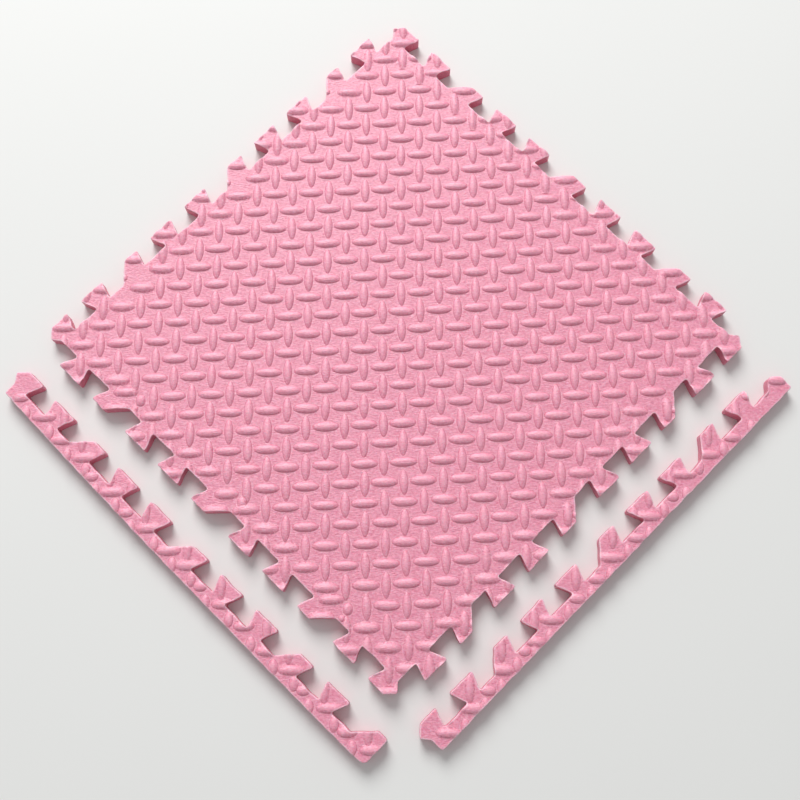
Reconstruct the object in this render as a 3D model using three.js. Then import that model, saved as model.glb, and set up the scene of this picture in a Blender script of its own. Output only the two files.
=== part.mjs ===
// Interlocking foam floor tile with two detachable border strips.
// Millimetres, +Z up. The origin is the middle of the tile's underside, on the floor.
// The tile's sides run along X and Y. Each strip lies flat beside one side of the tile,
// with its teeth facing the gaps that they plug into.

import * as THREE from "three";

// Driving dimensions, in millimetres.
const LAID_PITCH = 300; // centre distance of two tiles that are plugged together
const THICKNESS = 10; // overall, over the raised ribs
const TEETH_PER_SIDE = 10;
const TOOTH_PITCH = 29;
const NECK_WIDTH = 10.1; // a dovetail tooth at its root
const TIP_WIDTH = 18.3; // the same tooth at its end
const TIP_GAP = 0.3; // left between a tooth's end and the edge it meets

// Every third tooth has one flank cut back to a slant. These are the places where that
// slant leaves the root line and meets the tip line, as shares of the tooth pitch from
// the tooth's middle.
const TILE_SLANT = { root: 0.42, tip: 0.05 };
const STRIP_SLANT = { root: 0.43, tip: 0.06 };

// The slanted tooth in the middle of a side is this much wider, and the teeth after it
// sit this much further along.
const MIDDLE_TOOTH = 4;
const MIDDLE_EXTRA = 3;

// The tooth at the end of a side flares out past the tile's corner, and its outer
// corner is cut off at 45 degrees.
const CORNER_FLARE = 4.4;
const CORNER_FLARE_DEPTH = 5.4;

// Border strips.
const STRIP_BODY_WIDTH = 8.2; // from the straight outer edge to the tooth roots
const CORNER_TOOTH_OFFSET = 11.7; // where the left strip's corner tooth starts, past the tile's corner
const RIGHT_END_REACH = 11.6; // how far the right strip runs past the tile's corner
const RIGHT_END_HEIGHT = 5.3; // of the low nose that closes the right strip
const RIGHT_END_NOSE = 3; // length of that nose's flat top

// How the strips lie: distance from the tile's root line to the strip's outer edge,
// shift along the side, and turn about the strip's first corner in degrees.
const LEFT_STRIP_LIE = { outwards: 45.8, along: -0.7, turn: -0.13 };
const LEFT_STRIP_BOW = 1.8; // how far its middle bends away from the tile
const RIGHT_STRIP_LIE = { outwards: 44.3, along: -9.8, turn: -0.9 };

// Corner radii of the stamped outline.
const TOOTH_FILLET = 0.9;
const STRIP_CORNER_FILLET = 1.2;
const LEFT_END_FILLET = 4.5; // of the strip end that makes the laid mat's outer corner
const FILLET_SEGMENTS = 3;
const BOW_STEPS = 12;

const FOAM_COLOUR = 0xea8fae;
const FOAM_ROUGHNESS = 0.75;

// Worked out from the driving dimensions. A strip's or a neighbour's teeth sit half a
// pitch along, so this body width puts the last tooth's root exactly at the corner.
const BODY_WIDTH = (TEETH_PER_SIDE - 0.5) * TOOTH_PITCH + NECK_WIDTH + MIDDLE_EXTRA;
const TOOTH_DEPTH = LAID_PITCH - BODY_WIDTH - TIP_GAP;
const FIRST_TOOTH = (TOOTH_PITCH + NECK_WIDTH) / 2;
const CORNER_CHAMFER = TOOTH_DEPTH - CORNER_FLARE_DEPTH;

const point = (x, y, fillet = TOOTH_FILLET) => ({ x, y, fillet });

// The four corners of a dovetail tooth whose roots lie on y = 0, in walking order.
function dovetail(middle) {
  return [
    point(middle - NECK_WIDTH / 2, 0),
    point(middle - TIP_WIDTH / 2, TOOTH_DEPTH),
    point(middle + TIP_WIDTH / 2, TOOTH_DEPTH),
    point(middle + NECK_WIDTH / 2, 0),
  ];
}

// A dovetail on its left side, with a slant on its right that lies extra further along.
function slantedTooth(middle, slant, extra) {
  return [
    point(middle - NECK_WIDTH / 2, 0),
    point(middle - TIP_WIDTH / 2, TOOTH_DEPTH),
    point(middle + slant.tip * TOOTH_PITCH + extra, TOOTH_DEPTH),
    point(middle + slant.root * TOOTH_PITCH + extra, 0),
  ];
}

// The tooth whose root ends at the corner x = corner.
function cornerTooth(corner) {
  const middle = corner - NECK_WIDTH / 2;
  return [
    point(middle - NECK_WIDTH / 2, 0),
    point(middle - TIP_WIDTH / 2, TOOTH_DEPTH),
    point(corner + CORNER_FLARE - CORNER_CHAMFER, TOOTH_DEPTH),
    point(corner + CORNER_FLARE, CORNER_FLARE_DEPTH),
  ];
}

// One side of the tile, walked from its first corner at x = 0 to its last at
// x = BODY_WIDTH, with the teeth towards +y.
function toothedSide(slant) {
  const side = [point(0, 0)];
  for (let index = 0; index < TEETH_PER_SIDE; index += 1) {
    const shift = index > MIDDLE_TOOTH ? MIDDLE_EXTRA : 0;
    const middle = FIRST_TOOTH + index * TOOTH_PITCH + shift;
    if (index === TEETH_PER_SIDE - 1) {
      side.push(...cornerTooth(BODY_WIDTH));
    } else if (index % 3 === 1) {
      const extra = index === MIDDLE_TOOTH ? MIDDLE_EXTRA / 2 : 0;
      side.push(...slantedTooth(middle, slant, extra));
    } else {
      side.push(...dovetail(middle));
    }
  }
  return side;
}

// The tile's outline: the same side four times, each a quarter turn on, anticlockwise.
function tileOutline() {
  const outline = [];
  const half = BODY_WIDTH / 2;
  for (let quarter = 0; quarter < 4; quarter += 1) {
    const turn = (quarter * Math.PI) / 2;
    for (const corner of toothedSide(TILE_SLANT)) {
      const along = corner.x - half;
      const across = -half - corner.y;
      outline.push(
        point(
          along * Math.cos(turn) - across * Math.sin(turn),
          along * Math.sin(turn) + across * Math.cos(turn),
          corner.fillet,
        ),
      );
    }
  }
  return outline;
}

// The left strip's last tooth closes the square corner where two laid strips meet.
function leftStripEnd() {
  const reach = BODY_WIDTH + TOOTH_DEPTH + STRIP_BODY_WIDTH - TIP_GAP;
  const tip = STRIP_BODY_WIDTH + TOOTH_DEPTH;
  return [
    point(reach, 0, LEFT_END_FILLET),
    point(reach, tip),
    point(BODY_WIDTH + CORNER_TOOTH_OFFSET, tip),
    point(BODY_WIDTH + CORNER_TOOTH_OFFSET - TOOTH_DEPTH + TIP_GAP, STRIP_BODY_WIDTH),
  ];
}

// The right strip ends in a low nose with two 45 degree flanks.
function rightStripEnd() {
  const reach = BODY_WIDTH + RIGHT_END_REACH;
  const top = STRIP_BODY_WIDTH + RIGHT_END_HEIGHT;
  const noseEnd = BODY_WIDTH - 1 + RIGHT_END_HEIGHT + RIGHT_END_NOSE;
  return [
    point(reach, 0, STRIP_CORNER_FILLET),
    point(reach, top - (reach - noseEnd)),
    point(noseEnd, top),
    point(noseEnd - RIGHT_END_NOSE, top),
    point(noseEnd - RIGHT_END_NOSE - RIGHT_END_HEIGHT, STRIP_BODY_WIDTH),
  ];
}

// A strip in its own frame: the straight outer edge on y = 0 and the teeth towards +y.
// Its teeth are a tile side's, seen from the other side, so they plug into its gaps.
function stripOutline(endCorners) {
  const teeth = toothedSide(STRIP_SLANT).map((corner) =>
    point(BODY_WIDTH - corner.x, STRIP_BODY_WIDTH + corner.y, corner.fillet),
  );
  const toothEdge = teeth.slice(1);
  const start = point(0, 0, STRIP_CORNER_FILLET);
  return [start, ...endCorners, ...toothEdge, point(0, STRIP_BODY_WIDTH)];
}

// A flexible strip's outline bent sideways in its own plane. Its long straight edge is
// divided so that it follows the curve, and its two ends stay where they are.
function bowed(outline, bow) {
  const [first, second, ...rest] = outline;
  const edge = [];
  for (let step = 1; step < BOW_STEPS; step += 1) {
    edge.push(point((second.x * step) / BOW_STEPS, 0, 0));
  }
  return [first, ...edge, second, ...rest].map((corner) => {
    const share = corner.x / second.x;
    return point(corner.x, corner.y - 4 * bow * share * (1 - share), corner.fillet);
  });
}

// A closed shape through the corners, each rounded by its own fillet radius.
function filletedShape(corners) {
  const shape = new THREE.Shape();
  corners.forEach((corner, index) => {
    const here = new THREE.Vector2(corner.x, corner.y);
    if (corner.fillet === 0) {
      shape.lineTo(here.x, here.y);
      return;
    }
    const before = corners[(index + corners.length - 1) % corners.length];
    const after = corners[(index + 1) % corners.length];
    const back = new THREE.Vector2(before.x, before.y).sub(here).normalize();
    const ahead = new THREE.Vector2(after.x, after.y).sub(here).normalize();
    const halfAngle = Math.acos(THREE.MathUtils.clamp(back.dot(ahead), -1, 1)) / 2;
    const setback = corner.fillet / Math.tan(halfAngle);
    const start = here.clone().addScaledVector(back, setback);
    const end = here.clone().addScaledVector(ahead, setback);
    if (index === 0) {
      shape.moveTo(start.x, start.y);
    } else {
      shape.lineTo(start.x, start.y);
    }
    shape.quadraticCurveTo(here.x, here.y, end.x, end.y);
  });
  shape.closePath();
  return shape;
}

function foamPiece(name, outline) {
  const geometry = new THREE.ExtrudeGeometry(filletedShape(outline), {
    depth: THICKNESS,
    bevelEnabled: false,
    curveSegments: FILLET_SEGMENTS,
  });
  const foam = new THREE.MeshStandardMaterial({
    color: FOAM_COLOUR,
    roughness: FOAM_ROUGHNESS,
    metalness: 0,
  });
  const piece = new THREE.Mesh(geometry, foam);
  piece.name = name;
  return piece;
}

const mat = new THREE.Group();

mat.add(foamPiece("floor_tile", tileOutline()));

// The left strip lies along the tile's -Y side.
const leftOutline = stripOutline(leftStripEnd());
const leftStrip = foamPiece("left_border_strip", bowed(leftOutline, LEFT_STRIP_BOW));
leftStrip.position.set(
  -BODY_WIDTH / 2 + LEFT_STRIP_LIE.along,
  -BODY_WIDTH / 2 - LEFT_STRIP_LIE.outwards,
  0,
);
leftStrip.rotation.z = THREE.MathUtils.degToRad(LEFT_STRIP_LIE.turn);
mat.add(leftStrip);

// The right strip lies along the tile's +X side, a quarter turn round.
const rightStrip = foamPiece("right_border_strip", stripOutline(rightStripEnd()));
rightStrip.position.set(
  BODY_WIDTH / 2 + RIGHT_STRIP_LIE.outwards,
  -BODY_WIDTH / 2 + RIGHT_STRIP_LIE.along,
  0,
);
rightStrip.rotation.z = THREE.MathUtils.degToRad(90 + RIGHT_STRIP_LIE.turn);
mat.add(rightStrip);

export default mat;
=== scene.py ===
"""Looks of an interlocking foam floor tile and its two loose border strips.

Lengths inside the mesh code are millimetres in the CAD frame: +Z up, the tile's sides
along X and Y. They become metres when a mesh is written.
"""

import math
import random

import bpy
import numpy as np
from mathutils import Matrix, Vector
from mathutils.geometry import delaunay_2d_cdt


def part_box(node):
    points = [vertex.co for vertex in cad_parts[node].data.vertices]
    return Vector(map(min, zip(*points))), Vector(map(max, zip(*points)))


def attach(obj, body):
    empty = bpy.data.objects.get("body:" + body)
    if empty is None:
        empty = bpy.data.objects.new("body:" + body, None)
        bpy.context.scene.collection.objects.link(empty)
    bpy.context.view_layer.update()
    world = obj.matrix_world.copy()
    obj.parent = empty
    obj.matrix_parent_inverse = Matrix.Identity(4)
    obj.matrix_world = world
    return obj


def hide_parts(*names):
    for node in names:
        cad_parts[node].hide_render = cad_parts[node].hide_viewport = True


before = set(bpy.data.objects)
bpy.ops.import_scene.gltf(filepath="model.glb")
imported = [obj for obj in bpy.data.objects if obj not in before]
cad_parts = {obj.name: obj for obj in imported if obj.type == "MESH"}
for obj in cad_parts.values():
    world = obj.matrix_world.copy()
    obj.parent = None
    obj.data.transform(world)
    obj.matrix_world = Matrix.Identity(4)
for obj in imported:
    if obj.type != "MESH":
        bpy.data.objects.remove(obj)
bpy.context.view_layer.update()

MM = 0.001

# Tread: raised ribs in a basket pattern, all embossed in one sheet of foam.
RIB_HEIGHT = 1.75
RIB_LENGTH = 15.9
RIB_WIDTH = 5.8
SHORTEST_RISE = 0.3  # share of the full height that a rib of no length would have
HALO_MARGIN = 0.45  # of the painted highlight line outside a rib's foot
FOOT_SHADE_FADE = 0.15  # how far up the flank the painted shade at the foot fades out
LEAST_SHARE = 0.01  # keeps a rib's middle clear of a division by zero
# Rings of points round a rib: share of its half size, margin outside it, number of points.
RIB_LEVELS = (
    (1, 2 * HALO_MARGIN, 20), (1, HALO_MARGIN, 20), (1, 0, 20),
    (0.85, 0, 16), (0.6, 0, 12), (0.3, 0, 6),
)
RIB_FLANK = 0.7  # exponent of the cross-section: 0.5 is an ellipse, 1 is a parabola
RIB_TURN = math.radians(45.5)  # of the first set of ribs; the second set is square to it
RIB_SQUARENESS = 2.3  # exponent of the superellipse in plan: 2 is a plain ellipse
CROSS_SQUARENESS = 1.8  # the same for the second set of ribs, which are more pointed
CROSS_WIDTH = 5.4
CROSS_HEIGHT = 0.8  # of the first set's
CROSS_SHORT_LENGTH = 9.0  # of the second set's ribs that a strip's straight edge cuts off
LINE_REACH = 1.0  # how far outside a rib its foot lines are worked out
BULGE = 0.1  # at most how far a squarish rib reaches past its half length

# How far the ribs differ from each other: a worn roller's small faults.
PLACE_SPREAD = 0.15
TURN_SPREAD = 1.5  # degrees
LENGTH_SPREAD = (0.96, 1.03)
WIDTH_SPREAD = (0.95, 1.05)
TILE_SEED = 5
LEFT_SEED = 11
RIGHT_SEED = 12

# Cut edge.
EDGE_STEP = 0.8  # between the points along it
EDGE_RADIUS = 0.5  # of the rounded top
EDGE_ARCS = (30, 60, 90)  # degrees round it, from the tread to the wall
EDGE_WAVER = 0.13  # how far the cut strays in and out (standard deviation)
WAVER_SMOOTHINGS = 12  # passes that spread the waver along the edge
FOOT_CHAMFER = 0.25
RIM_BAND = 0.9  # width of a band inside the rounded top, so that the painted rim highlight fades evenly
RIM_CLEARANCE = 0.9 * RIM_BAND  # least distance of the band's inner points from the edge
RIB_CLEARANCE = 0.45  # least distance from the edge of the points of a rib that it cuts
WHOLE_RIB_MARGIN = 4.0  # a rib this clear of the edge isn't cut
FACING_UP = 0.9  # least rise of the normal of a CAD solid's top face
WALL_ROWS = 4
SHARP_ANGLE = math.radians(40)
CHUNK = 2000  # points compared with an outline at a time, to save memory
KEEP_INSIDE = 1  # delaunay_2d_cdt's mode that drops the triangles outside the edges
MERGE_DISTANCE = 1e-5

# Where the tread lattice lies on the tile: origin, the step from rib to rib along and
# across, and how the lattice bends: factors of i squared, i times j, and j squared.
TILE_TREAD_ORIGIN = (7.09, -1.45)
TILE_TREAD_STEP = ((16.14, 0.22), (-0.43, 16.78))
TILE_TREAD_DRIFT = ((0.0286, 0.0123), (-0.026, 0.008), (0.0084, -0.018))
SECOND_SET_SHIFT = (0.515, 0.485)  # of a lattice step
TREAD_REACH = 12  # lattice steps each way

# Slanted teeth, where each side of the tile has a tread of its own, the same on its three
# slanted teeth: the reaches in which the even tread gives way, then the ribs there as
# (rises to the right, along from the tooth's middle, out from the root line, length).
TOOTH_DEPTH = 11.1
SLANTED_TEETH = (48.55, 137.05, 225.55)  # along a side, from its first corner
LUMP = 4.0  # length of a round rib
EDGE_PATCH = ((-12.0, 16.0), (-1.0, 14.0))  # a reach, along and out
ROOT_PATCH = ((-12.0, 16.0), (-4.0, 14.0))
DEEP_PATCH = ((-3.5, 17.0), (-10.5, -1.0))
PATCHES = (
    (
        (EDGE_PATCH, DEEP_PATCH),
        (True, 3.2, -5.8, 15), (True, 6.0, 5.4, 15),
        (False, 13.6, -8.6, 7), (True, 15.0, -2.4, LUMP),
    ),
    (
        (EDGE_PATCH,),
        (True, 1.3, 4.3, 15), (False, -7.8, 10.0, 10), (True, 4.2, 8.0, LUMP),
    ),
    ((EDGE_PATCH,), (True, 3.2, 5.4, 15)),
    ((ROOT_PATCH,), (False, -3.6, 7.6, 12), (True, 8.6, 3.0, LUMP)),
)

# Tread of the strips: (along, across, length) of the ribs of the first set, from the
# strip's outer corner. The second set lies halfway between them.
LEFT_STRIP_RIBS = (
    (9.5, 5, 10), (28.5, 7, 15), (47, 5, 14), (64.5, 7, 15), (76, 2.5, 9), (91.5, 5, 15),
    (106.5, 2.5, 9), (123, 5.5, 15), (141, 5, 15), (155.5, 7, 15), (169.5, 4, 8),
    (186.5, 6.5, 14), (204, 6, 12), (224, 6, 14), (241, 8, 15), (254, 5, 8), (271.5, 8.5, 15),
    (288, 6.5, 12), (304.5, 9, 13),
)
RIGHT_STRIP_RIBS = (
    (9.5, 4.5, 15), (28.5, 4.5, 15), (42, 5, 9), (56, 7.5, 15), (72.5, 5.5, 7), (81, 5, 11),
    (96.5, 7, 15), (115.5, 5, 10), (132, 4.5, 11), (147.5, 6.5, 15), (166, 4.5, 11),
    (180.5, 8, 15), (199, 5.5, 7), (213.5, 10.5, 17), (233, 8, 15), (251, 5, 11),
    (277, 14.5, 9), (296.5, 9.5, 12),
)
SECOND_SET_INWARDS = -4.2  # across from the first set, on the strip's outer edge
SECOND_SET_OUTWARDS = 8.5  # and on its teeth

# Where each strip's tread starts, from a corner of the strip's CAD box, and its direction.
LEFT_START = (4.1, 2.2)
LEFT_TURN = math.radians(-0.13)
RIGHT_START = (-4.7, 3.9)
RIGHT_TURN = math.radians(89.1)

# Colours as linear RGB and alpha.
SKIN_DEEP, SKIN_FAIR = (0.83, 0.272, 0.402, 1), (0.87, 0.31, 0.45, 1)
FLECK_DARK, FLECK_PALE = (0.70, 0.17, 0.285, 1), (0.98, 0.47, 0.61, 1)
# Cut walls: the cut foam's own tone with painted shade, darker than the tread on every steep face.
CUT_AND_SHADE_DARK, CUT_AND_SHADE_PALE = (0.66, 0.12, 0.22, 1), (0.80, 0.19, 0.31, 1)
# Painted highlight on the rib crowns, also standing for rubbed wear: paler the higher the tread
# rises.
CROWN_HIGHLIGHT_AND_WEAR = (0.97, 0.48, 0.60, 1)
# Painted highlight: a pale line just outside each rib's foot.
PAINTED_HALO_HIGHLIGHT = (0.98, 0.55, 0.66, 1)
# Painted shade: a dark line in the crease at each rib's foot.
PAINTED_FOOT_SHADE = (0.60, 0.09, 0.18, 1)
# Painted highlight along the rounded cut edges, made uneven by noise standing for rubbing.
RIM_HIGHLIGHT_AND_WEAR = (0.98, 0.62, 0.72, 1)
FLOOR_GREY, FLOOR_PALE = (0.80, 0.81, 0.80, 1), (0.825, 0.835, 0.825, 1)
WHITE = (1.0, 1.0, 1.0, 1)

# How much of each goes over the colour under it.
FLECK_SHARE = 0.7
CROWN_HIGHLIGHT_SHARE = 0.4
HALO_HIGHLIGHT_SHARE = 0.45
FOOT_SHADE_SHARE = 0.4
FLECK_SPAN = (0.36, 0.64)  # noise values of the darkest and the palest fleck
RIM_HIGHLIGHT_SHARE = 0.9
RIM_FADE = (0.35, 1.15)  # mm from the cut edge, where the painted rim highlight starts and stops fading
LEAST_RIM_HIGHLIGHT = 0.25  # of the painted rim highlight, at its weakest
RIM_HIGHLIGHT_SPAN = (0.3, 0.6)  # noise values where the painted rim highlight is weakest and strongest

# The foam's finish.
ROUGHNESS_SPAN = (0.36, 0.52)
SPECULAR_LEVEL = 0.9
SUBSURFACE_WEIGHT = 0.3
SUBSURFACE_RADIUS = (1.0, 0.25, 0.4)
SUBSURFACE_SCALE = 0.002  # metres
SHEEN_WEIGHT = 0.15
SHEEN_ROUGHNESS = 0.5

# Sizes of the foam's texture, in features to the metre.
HATCH_SCALE = 1300
MOTTLE_SCALE = 600
MOTTLE_ROUGHNESS = 0.65  # strength of each finer layer of its noise against the last
PATCH_SCALE = 22
RIM_NOISE_SCALE = 140
GRAIN_SCALE = 2600
CELL_SCALE = 1400
HATCH_STRETCH = 0.4  # scale along the first set of ribs, which draws the hatching out that way
WALL_SLOPE = 0.35  # a normal with less rise than this belongs to a cut wall
MORE_LAYERS = 3  # of noise, where two aren't enough
GRAIN_DEPTH = 0.35  # of the hatching's
CELL_DEPTH = 1.6
BUMP_STRENGTH = 0.8
BUMP_HEIGHT = 0.0004  # metres

# Stage, light and camera, in metres.
FLOOR_SIZE = 6.0
FLOOR_SCALE = 3  # of its faint mottling, in features to the metre
FLOOR_ROUGHNESS = 0.7
LAMP_PLACE = (-1.81, 1.07, 1.77)
LAMP_SIZE = 1.7
LAMP_POWER = 73
LAMP_COLOUR = (1.0, 0.99, 0.98)
WORLD_STRENGTH = 0.42
CAMERA_PLACE = Vector((0.13936, -0.13450, 0.66416))
CAMERA_AIM = Vector((0.02897, -0.02528, 0.005))
CAMERA_ROLL = math.radians(-0.893)
CAMERA_LENS = 50.2  # mm
CAMERA_SENSOR = 36  # mm


def outline_of(name):
    """A CAD solid's outline seen from above, in millimetres, anticlockwise."""
    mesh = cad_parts[name].data
    places = [(round(v.co.x / MM, 3), round(v.co.y / MM, 3)) for v in mesh.vertices]
    steps = set()
    for polygon in mesh.polygons:
        if polygon.normal.z > FACING_UP:
            ring = [places[i] for i in polygon.vertices]
            steps.update(zip(ring, ring[1:] + ring[:1]))
    follow = {a: b for a, b in steps if (b, a) not in steps}
    first = min(follow)
    outline = [first]
    while follow[outline[-1]] != first:
        outline.append(follow[outline[-1]])
    return np.array(outline)


def evenly_spaced(outline, step):
    """The closed outline again, with points a step apart."""
    closed = np.vstack([outline, outline[:1]])
    lengths = np.hypot(*np.diff(closed, axis=0).T)
    along = np.concatenate([[0], np.cumsum(lengths)])
    stations = np.linspace(0, along[-1], round(along[-1] / step), endpoint=False)
    return np.column_stack([np.interp(stations, along, closed[:, k]) for k in (0, 1)])


def softened(ring):
    """Each point moved a little towards the middle of its neighbours."""
    return (np.roll(ring, 1, 0) + 2 * ring + np.roll(ring, -1, 0)) / 4


def outward_normals(ring):
    """Unit normals of an anticlockwise ring, at its points."""
    along = np.roll(ring, -1, 0) - np.roll(ring, 1, 0)
    along /= np.linalg.norm(along, axis=1)[:, None]
    return np.column_stack([along[:, 1], -along[:, 0]])


def inside(points, ring):
    """Which points are inside the closed ring."""
    x1, y1 = ring.T
    x2, y2 = np.roll(ring, -1, 0).T
    result = np.zeros(len(points), bool)
    for start in range(0, len(points), CHUNK):
        x = points[start:start + CHUNK, 0, None]
        y = points[start:start + CHUNK, 1, None]
        crosses = (y1 > y) != (y2 > y)
        rise = np.where(y2 == y1, 1, y2 - y1)
        hits = crosses & (x < x1 + (y - y1) * (x2 - x1) / rise)
        result[start:start + CHUNK] = hits.sum(1) % 2 == 1
    return result


def nearest_distance(points, ring):
    """How far each point is from the ring's nearest point."""
    distance = np.empty(len(points))
    for start in range(0, len(points), CHUNK):
        gap = points[start:start + CHUNK, None, :] - ring[None, :, :]
        distance[start:start + CHUNK] = np.sqrt((gap ** 2).sum(2).min(1))
    return distance


def loop_edges(count, first=0):
    """Edges of the closed loop of count points that starts at point first."""
    return [(first + i, first + (i + 1) % count) for i in range(count)]


def triangulated(points, edges):
    """Vertices, triangles and each vertex's source points, inside the closed edges."""
    flat = [Vector((float(x), float(y))) for x, y in points]
    places, _, faces, origins, _, _ = delaunay_2d_cdt(
        flat, edges, [], KEEP_INSIDE, MERGE_DISTANCE
    )
    return places, faces, origins


class Rib:
    """One raised rib: the cap of a superellipse, long along its turn."""

    def __init__(self, x, y, turn, length, width, height, squareness):
        self.middle = np.array([x, y])
        self.squareness = squareness
        cosine, sine = math.cos(turn), math.sin(turn)
        self.axes = np.array([[cosine, sine], [-sine, cosine]])
        self.half = np.array([length / 2, width / 2])
        self.height = height * min(1.0, SHORTEST_RISE + length / RIB_LENGTH)

    def contour(self, share, margin, count):
        """Points round the rib at a share of its size, or at a margin outside that."""
        angle = np.linspace(0, 2 * math.pi, count, endpoint=False)
        circle = np.column_stack([np.cos(angle), np.sin(angle)])
        size = (np.abs(circle) ** self.squareness).sum(1) ** (-1 / self.squareness)
        return self.middle + (circle * size[:, None] * (share * self.half + margin)) @ self.axes

    def share(self, points):
        """0 at the rib's middle, 1 on its outline, more outside."""
        local = (points - self.middle) @ self.axes.T / self.half
        return (np.abs(local) ** self.squareness).sum(1) ** (1 / self.squareness)

    def rise(self, points):
        """The rib's height at each point, 0 outside it."""
        return self.height * np.clip(1 - self.share(points) ** 2, 0, 1) ** RIB_FLANK


def painted_foot_lines(points, ribs):
    """Shares of the painted highlight line round each rib and of the painted shade line at its
    foot.
    """
    pale = np.zeros(len(points))
    dark = np.zeros(len(points))
    for rib in ribs:
        near = np.flatnonzero(np.abs(points - rib.middle).max(1) < rib.half[0] + LINE_REACH)
        share = np.maximum(rib.share(points[near]), LEAST_SHARE)
        reach = np.linalg.norm(points[near] - rib.middle, axis=1)
        margin = reach * (1 - 1 / share) / HALO_MARGIN
        within = (share - 1) / FOOT_SHADE_FADE
        pale[near] = np.where(share < 1, 0, np.maximum(pale[near], 1 - np.abs(margin - 1)))
        dark[near] = np.maximum(dark[near], 1 - np.abs(np.where(share < 1, within, margin)))
    return pale, dark


def tread_rise(points, ribs):
    """Height of the tread over its ground at each point."""
    rise = np.zeros(len(points))
    for rib in ribs:
        near = np.abs(points - rib.middle).max(1) < rib.half[0] + BULGE
        if near.any():
            rise[near] = np.maximum(rise[near], rib.rise(points[near]))
    return rise


def tread_mesh(ring, rim, ribs):
    """Vertices and triangles of the tread inside the ring. Returns the ring's indices too."""
    clear = inside(rim, ring) & (nearest_distance(rim, ring) > RIM_CLEARANCE)
    points = [*ring, *rim[clear][::2]]
    edges = loop_edges(len(ring))
    coarse = ring[::4]
    for rib in ribs:
        levels = [rib.contour(*level) for level in RIB_LEVELS]
        middle = rib.middle[None]
        if nearest_distance(middle, coarse)[0] > rib.half[0] + WHOLE_RIB_MARGIN:
            if inside(middle, ring)[0]:
                for level in levels:
                    edges.extend(loop_edges(len(level), len(points)))
                    points.extend(level)
                points.append(rib.middle)
        else:
            cloud = np.vstack([*levels, middle])
            keep = inside(cloud, ring) & (nearest_distance(cloud, ring) > RIB_CLEARANCE)
            points.extend(cloud[keep])
    places, faces, origins = triangulated(points, edges)
    index_of = {}
    for index, sources in enumerate(origins):
        index_of.update((source, index) for source in sources)
    plane = np.array([(place.x, place.y) for place in places])
    return plane, faces, [index_of[i] for i in range(len(ring))]


def add_attribute(mesh, name, values):
    """A float attribute with these values on the first vertices, and 0 on the rest."""
    padded = np.zeros(len(mesh.vertices))
    padded[:len(values)] = values
    mesh.attributes.new(name, "FLOAT", "POINT").data.foreach_set("value", padded)


def foam_mesh(name, cad_node, ribs, seed):
    """A foam piece: the CAD solid's outline and height, with rounded cut edges and a tread."""
    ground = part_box(cad_node)[1].z / MM - RIB_HEIGHT
    ring = softened(evenly_spaced(outline_of(cad_node), EDGE_STEP))
    normals = outward_normals(ring)
    wander = np.random.default_rng(seed).normal(0, 1, (len(ring), 1))
    for _ in range(WAVER_SMOOTHINGS):
        wander = softened(wander)
    ring = ring + normals * wander / wander.std() * EDGE_WAVER

    def inset(depth):
        return ring - normals * depth

    # The tread, then rings of vertices down the rounded edge and the wall to the floor.
    plane, faces, last = tread_mesh(inset(EDGE_RADIUS), inset(EDGE_RADIUS + RIM_BAND), ribs)
    faces = [tuple(face) for face in faces]
    vertices = [np.column_stack([plane, ground + tread_rise(plane, ribs)])]
    edge_top = ground + tread_rise(inset(EDGE_RADIUS / 2), ribs)
    for degrees in EDGE_ARCS:
        arc = math.radians(degrees)
        level = inset(EDGE_RADIUS * (1 - math.sin(arc)))
        vertices.append(np.column_stack([level, edge_top - EDGE_RADIUS * (1 - math.cos(arc))]))
    wall_top = edge_top - EDGE_RADIUS
    for row in range(1, WALL_ROWS + 1):
        fall = (FOOT_CHAMFER - wall_top) * row / WALL_ROWS
        vertices.append(np.column_stack([ring, wall_top + fall]))
    vertices.append(np.column_stack([inset(FOOT_CHAMFER), np.zeros(len(ring))]))
    count = len(plane)
    for _ in vertices[1:]:
        this = list(range(count, count + len(ring)))
        faces.extend((last[i], this[i], this[j], last[j]) for i, j in loop_edges(len(ring)))
        last = this
        count += len(ring)
    _, under, _ = triangulated(inset(FOOT_CHAMFER), loop_edges(len(ring)))
    faces.extend(tuple(last[i] for i in reversed(face)) for face in under)

    mesh = bpy.data.meshes.new(name)
    mesh.from_pydata((np.vstack(vertices) * MM).tolist(), [], faces)
    # Masks for the painted highlight line round each rib and the painted shade at its foot, the
    # distance that fades the painted rim highlight, and the height that pales the crowns.
    pale, dark = painted_foot_lines(plane, ribs)
    add_attribute(mesh, "from_rim", nearest_distance(plane, ring))
    add_attribute(mesh, "halo_highlight", pale)
    add_attribute(mesh, "crease_shade", dark)
    add_attribute(mesh, "crown", tread_rise(plane, ribs) / RIB_HEIGHT)
    mesh.validate()
    mesh.shade_smooth()
    mesh.set_sharp_from_angle(angle=SHARP_ANGLE)
    piece = bpy.data.objects.new(name, mesh)
    bpy.context.scene.collection.objects.link(piece)
    weighting = piece.modifiers.new("flat_faces_first", "WEIGHTED_NORMAL")
    weighting.keep_sharp = True
    return piece


def varied(rng, x, y, turn, length, width, height, squareness):
    """A rib with the small differences of a worn embossing roller."""
    return Rib(
        x + rng.uniform(-PLACE_SPREAD, PLACE_SPREAD),
        y + rng.uniform(-PLACE_SPREAD, PLACE_SPREAD),
        turn + math.radians(rng.uniform(-TURN_SPREAD, TURN_SPREAD)),
        length * rng.uniform(*LENGTH_SPREAD),
        width * rng.uniform(*WIDTH_SPREAD),
        height,
        squareness,
    )


def main_rib(rng, x, y, turn, length=RIB_LENGTH, width=RIB_WIDTH):
    """A rib of the first set."""
    return varied(rng, x, y, turn, length, width, RIB_HEIGHT, RIB_SQUARENESS)


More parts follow.
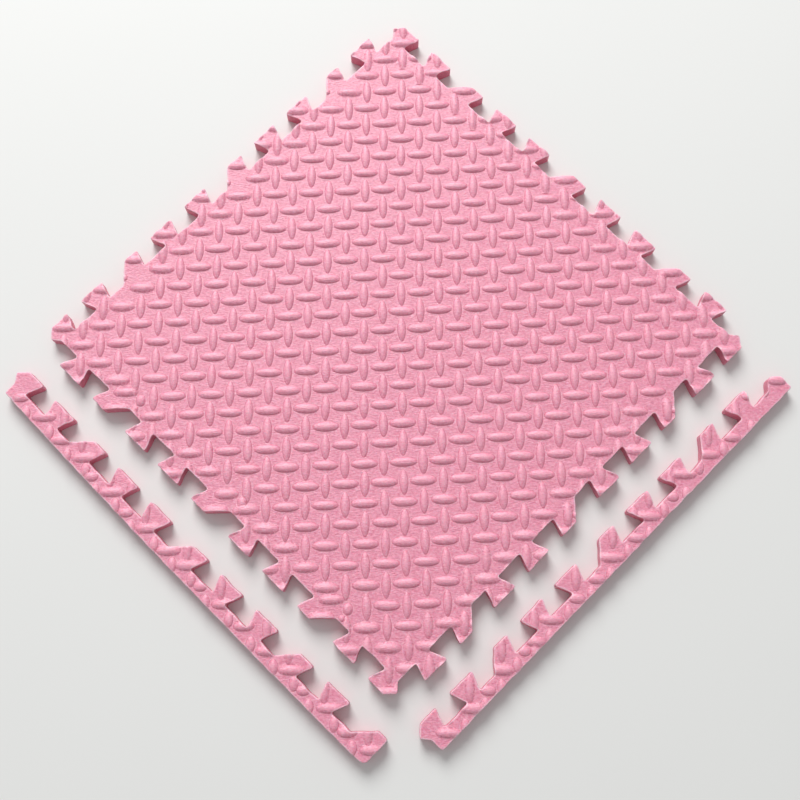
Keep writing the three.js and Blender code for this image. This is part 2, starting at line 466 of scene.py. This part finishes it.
def cross_rib(rng, x, y, turn, length=RIB_LENGTH):
    """A rib of the second set."""
    height = RIB_HEIGHT * CROSS_HEIGHT
    return varied(rng, x, y, turn, length, CROSS_WIDTH, height, CROSS_SQUARENESS)


def tile_lattice(i, j):
    """Where the lattice point i, j lies on the tile."""
    square, cross, other = TILE_TREAD_DRIFT
    return tuple(
        TILE_TREAD_ORIGIN[k]
        + i * TILE_TREAD_STEP[0][k]
        + j * TILE_TREAD_STEP[1][k]
        + i * i * square[k]
        + i * j * cross[k]
        + j * j * other[k]
        for k in (0, 1)
    )


def turned(x, y, angle):
    """The point turned anticlockwise about the origin."""
    return x * math.cos(angle) - y * math.sin(angle), x * math.sin(angle) + y * math.cos(angle)


def tile_ribs():
    """The even tread, with each side's own patch on its slanted teeth."""
    rng = random.Random(TILE_SEED)
    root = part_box("floor_tile")[1].x / MM - TOOTH_DEPTH
    even = []
    for i in range(-TREAD_REACH, TREAD_REACH + 1):
        for j in range(-TREAD_REACH, TREAD_REACH + 1):
            even.append(main_rib(rng, *tile_lattice(i, j), RIB_TURN))
            shifted = tile_lattice(i + SECOND_SET_SHIFT[0], j + SECOND_SET_SHIFT[1])
            even.append(cross_rib(rng, *shifted, RIB_TURN + math.pi / 2))
    patched = []
    for quarter, (reaches, *patch) in enumerate(PATCHES):
        side = quarter * math.pi / 2
        for tooth in SLANTED_TEETH:
            kept = []
            for rib in even:
                x, y = turned(*rib.middle, -side)
                along, out = x + root - tooth, -y - root
                if not any(
                    from_along < along < to_along and from_out < out < to_out
                    for (from_along, to_along), (from_out, to_out) in reaches
                ):
                    kept.append(rib)
            even = kept
            for rising, along, out, length in patch:
                place = turned(tooth + along - root, -root - out, side)
                turn = side + (RIB_TURN if rising else -RIB_TURN)
                width = min(RIB_WIDTH, length)
                patched.append(main_rib(rng, *place, turn, length, width))
    return even + patched


def strip_ribs(start, turn, first_set, first_turn, seed):
    """Ribs of a strip, from where its tread starts, its direction and the first set's turn."""
    rng = random.Random(seed)

    def rib(kind, along, across, angle, length):
        x, y = turned(along, across, turn)
        return kind(rng, start[0] + x, start[1] + y, turn + angle, length)

    ribs = [rib(main_rib, along, across, first_turn, length) for along, across, length in first_set]
    for (here, across, _), (there, _, _) in zip(first_set, first_set[1:]):
        halfway = (here + there) / 2
        for shift, length in (
            (SECOND_SET_INWARDS, CROSS_SHORT_LENGTH), (SECOND_SET_OUTWARDS, RIB_LENGTH),
        ):
            ribs.append(rib(cross_rib, halfway, across + shift, -first_turn, length))
    return ribs


# ---------------------------------------------------------------- materials


def node(tree, kind, **settings):
    made = tree.nodes.new(kind)
    for key, value in settings.items():
        setattr(made, key, value)
    return made


def feed(tree, socket, value):
    """Links the socket to another node's output, or sets it to a constant."""
    if isinstance(value, bpy.types.NodeSocket):
        tree.links.new(value, socket)
    else:
        socket.default_value = value


def mapped(tree, vector, setting, value):
    """The vector through a Mapping node with one of its settings changed."""
    made = node(tree, "ShaderNodeMapping")
    made.inputs[setting].default_value = value
    tree.links.new(vector, made.inputs["Vector"])
    return made.outputs[0]


def noise(tree, vector, scale, detail=2.0, roughness=0.5):
    made = node(tree, "ShaderNodeTexNoise")
    made.inputs["Scale"].default_value = scale
    made.inputs["Detail"].default_value = detail
    made.inputs["Roughness"].default_value = roughness
    tree.links.new(vector, made.inputs["Vector"])
    return made.outputs["Fac"]


def attribute(tree, name):
    return node(tree, "ShaderNodeAttribute", attribute_name=name).outputs["Fac"]


def math_node(tree, operation, a, b):
    made = node(tree, "ShaderNodeMath", operation=operation)
    feed(tree, made.inputs[0], a)
    feed(tree, made.inputs[1], b)
    return made.outputs[0]


def remap(tree, value, low, high, from_low=0.0, from_high=1.0):
    made = node(tree, "ShaderNodeMapRange")
    tree.links.new(value, made.inputs["Value"])
    made.inputs["From Min"].default_value = from_low
    made.inputs["From Max"].default_value = from_high
    made.inputs["To Min"].default_value = low
    made.inputs["To Max"].default_value = high
    return made.outputs[0]


def mix_colour(tree, share, a, b):
    made = node(tree, "ShaderNodeMix", data_type="RGBA")
    feed(tree, made.inputs[0], share)
    feed(tree, made.inputs[6], a)
    feed(tree, made.inputs[7], b)
    return made.outputs[2]


def mix_float(tree, share, a, b):
    made = node(tree, "ShaderNodeMix", data_type="FLOAT")
    feed(tree, made.inputs[0], share)
    feed(tree, made.inputs[2], a)
    feed(tree, made.inputs[3], b)
    return made.outputs[0]


def marked(tree, colour, mark, share, tint):
    """The colour with a tint over it where the mesh carries the mark."""
    strength = math_node(tree, "MULTIPLY", attribute(tree, mark), share)
    return mix_colour(tree, strength, colour, tint)


def new_material(name):
    """A material, its node tree, its shader and the object coordinates."""
    material = bpy.data.materials.new(name)
    material.use_nodes = True
    tree = material.node_tree
    place = node(tree, "ShaderNodeTexCoord").outputs["Object"]
    return material, tree, tree.nodes["Principled BSDF"], place


def foam_material():
    """Pink closed-cell foam: a fine hatched skin on the tread, open cells on the cut walls."""
    material, tree, shader, place = new_material("pink_foam")
    along_ribs = mapped(tree, place, "Rotation", (0, 0, -RIB_TURN))
    hatch_place = mapped(tree, along_ribs, "Scale", (HATCH_STRETCH, 1.0, 1.0))
    hatch = noise(tree, hatch_place, HATCH_SCALE)
    mottle = noise(tree, place, MOTTLE_SCALE, MORE_LAYERS, MOTTLE_ROUGHNESS)
    patches = noise(tree, place, PATCH_SCALE, MORE_LAYERS)

    split = node(tree, "ShaderNodeSeparateXYZ")
    tree.links.new(node(tree, "ShaderNodeNewGeometry").outputs["Normal"], split.inputs[0])
    wall = math_node(tree, "LESS_THAN", split.outputs["Z"], WALL_SLOPE)

    half_mottle = math_node(tree, "MULTIPLY", mottle, 0.5)
    half_hatch = math_node(tree, "MULTIPLY", hatch, 0.5)
    fleck = remap(tree, math_node(tree, "ADD", half_mottle, half_hatch), 0, 1, *FLECK_SPAN)
    base = mix_colour(tree, patches, SKIN_DEEP, SKIN_FAIR)
    skin = mix_colour(tree, FLECK_SHARE, base, mix_colour(tree, fleck, FLECK_DARK, FLECK_PALE))
    # Painted highlight and rubbed wear on the rib crowns.
    skin = marked(tree, skin, "crown", CROWN_HIGHLIGHT_SHARE, CROWN_HIGHLIGHT_AND_WEAR)
    # Painted highlight: a pale line round each rib's foot.
    skin = marked(tree, skin, "halo_highlight", HALO_HIGHLIGHT_SHARE, PAINTED_HALO_HIGHLIGHT)
    # Painted shade in the crease at each rib's foot.
    skin = marked(tree, skin, "crease_shade", FOOT_SHADE_SHARE, PAINTED_FOOT_SHADE)
    # Painted highlight along the cut edges, uneven with noise standing for rubbing.
    rim_unevenness = remap(tree, noise(tree, place, RIM_NOISE_SCALE), LEAST_RIM_HIGHLIGHT, 1.0, *RIM_HIGHLIGHT_SPAN)
    near_rim = remap(tree, attribute(tree, "from_rim"), RIM_HIGHLIGHT_SHARE, 0, *RIM_FADE)
    skin = mix_colour(tree, math_node(tree, "MULTIPLY", near_rim, rim_unevenness), skin, RIM_HIGHLIGHT_AND_WEAR)
    # Cut walls darker than the tread: their own tone with painted shade.
    cut = mix_colour(tree, mottle, CUT_AND_SHADE_DARK, CUT_AND_SHADE_PALE)
    feed(tree, shader.inputs["Base Color"], mix_colour(tree, wall, skin, cut))

    feed(tree, shader.inputs["Roughness"], remap(tree, mottle, *ROUGHNESS_SPAN))
    shader.inputs["Subsurface Weight"].default_value = SUBSURFACE_WEIGHT
    shader.inputs["Subsurface Radius"].default_value = SUBSURFACE_RADIUS
    shader.inputs["Subsurface Scale"].default_value = SUBSURFACE_SCALE
    shader.inputs["Sheen Weight"].default_value = SHEEN_WEIGHT
    shader.inputs["Sheen Roughness"].default_value = SHEEN_ROUGHNESS
    shader.inputs["Specular IOR Level"].default_value = SPECULAR_LEVEL

    grain = noise(tree, place, GRAIN_SCALE)
    cells = node(tree, "ShaderNodeTexVoronoi")
    cells.inputs["Scale"].default_value = CELL_SCALE
    tree.links.new(place, cells.inputs["Vector"])
    skin_height = math_node(tree, "ADD", hatch, math_node(tree, "MULTIPLY", grain, GRAIN_DEPTH))
    wall_height = math_node(tree, "MULTIPLY", cells.outputs["Distance"], CELL_DEPTH)
    bump = node(tree, "ShaderNodeBump")
    bump.inputs["Strength"].default_value = BUMP_STRENGTH
    bump.inputs["Distance"].default_value = BUMP_HEIGHT
    feed(tree, bump.inputs["Height"], mix_float(tree, wall, skin_height, wall_height))
    feed(tree, shader.inputs["Normal"], bump.outputs[0])
    return material


def floor_material():
    material, tree, shader, place = new_material("pale_floor")
    tint = mix_colour(tree, noise(tree, place, FLOOR_SCALE), FLOOR_GREY, FLOOR_PALE)
    feed(tree, shader.inputs["Base Color"], tint)
    shader.inputs["Roughness"].default_value = FLOOR_ROUGHNESS
    return material


# ---------------------------------------------------------------- the pieces

foam = foam_material()

left_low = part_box("left_border_strip")[0] / MM
right_low, right_high = (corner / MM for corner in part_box("right_border_strip"))
left_start = (left_low.x + LEFT_START[0], left_low.y + LEFT_START[1])
right_start = (right_high.x + RIGHT_START[0], right_low.y + RIGHT_START[1])

PIECES = (
    ("floor_tile_foam", "floor_tile", "tile", tile_ribs()),
    (
        "left_border_foam", "left_border_strip", "left_strip",
        strip_ribs(left_start, LEFT_TURN, LEFT_STRIP_RIBS, RIB_TURN, LEFT_SEED),
    ),
    (
        "right_border_foam", "right_border_strip", "right_strip",
        strip_ribs(right_start, RIGHT_TURN, RIGHT_STRIP_RIBS, -RIB_TURN, RIGHT_SEED),
    ),
)

for seed, (name, cad_node, body, ribs) in enumerate(PIECES):
    piece = foam_mesh(name, cad_node, ribs, seed)
    piece.data.materials.append(foam)
    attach(piece, body)
    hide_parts(cad_node)


# ---------------------------------------------------------------- stage, light and camera

scene = bpy.context.scene

bpy.ops.mesh.primitive_plane_add(size=FLOOR_SIZE, location=(0, 0, 0))
floor = bpy.context.object
floor.name = "floor"
floor.data.materials.append(floor_material())


def turned_towards(place, aim, roll=0.0):
    """Rotation of a camera or lamp at place that looks at aim."""
    look = (aim - place).to_track_quat("-Z", "Y")
    return (look.to_matrix() @ Matrix.Rotation(roll, 3, "Z")).to_euler()


lamp_data = bpy.data.lights.new("far_window", "AREA")
lamp_data.shape = "DISK"
lamp_data.size = LAMP_SIZE
lamp_data.energy = LAMP_POWER
lamp_data.color = LAMP_COLOUR
lamp = bpy.data.objects.new("far_window", lamp_data)
lamp.location = LAMP_PLACE
lamp.rotation_euler = turned_towards(Vector(LAMP_PLACE), Vector((0, 0, 0)))
scene.collection.objects.link(lamp)

world = bpy.data.worlds.new("studio")
world.use_nodes = True
background = world.node_tree.nodes["Background"]
background.inputs["Color"].default_value = WHITE
background.inputs["Strength"].default_value = WORLD_STRENGTH
scene.world = world
scene.view_settings.view_transform = "Standard"

camera_data = bpy.data.cameras.new("camera")
camera_data.lens = CAMERA_LENS
camera_data.sensor_width = CAMERA_SENSOR
camera = bpy.data.objects.new("camera", camera_data)
camera.location = CAMERA_PLACE
camera.rotation_euler = turned_towards(CAMERA_PLACE, CAMERA_AIM, CAMERA_ROLL)
scene.collection.objects.link(camera)
scene.camera = camera

bpy.context.view_layer.update()
